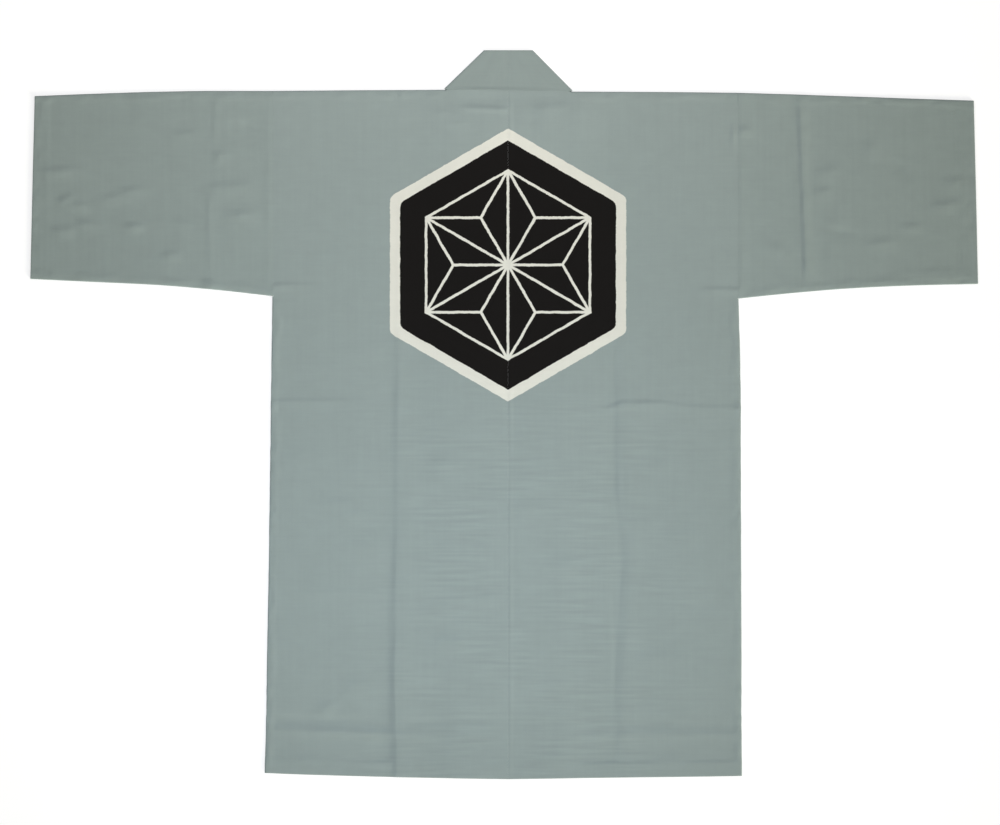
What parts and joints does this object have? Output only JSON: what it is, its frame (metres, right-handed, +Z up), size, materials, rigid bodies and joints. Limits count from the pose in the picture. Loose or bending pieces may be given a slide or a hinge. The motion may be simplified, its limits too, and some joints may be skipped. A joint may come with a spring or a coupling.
{
  "type": "happi coat",
  "caption": "Straight-cut short festival coat with wide tube sleeves and a band collar, laid flat on its front with its back up.",
  "frame": {"origin": "under the middle of the coat's outline, on the surface that it lies on", "axes": "+Z up, away from the surface and out of the coat's back; +Y towards the collar; +X towards the wearer's right sleeve"},
  "size_m": [1.308, 1.0059, 0.0043],
  "materials": {
    "body_cloth": "matt slub cotton, grey-green blue, dyed hexagon crest on the back",
    "sleeve_cloth": "matt slub cotton, grey-green blue",
    "collar_cloth": "matt slub cotton, grey-green blue, several plies"
  },
  "bodies": {
    "root": {"body_left": "body_cloth", "body_right": "body_cloth", "sleeve_left": "sleeve_cloth", "sleeve_right": "sleeve_cloth", "collar": "collar_cloth"}
  },
  "joints": []
}
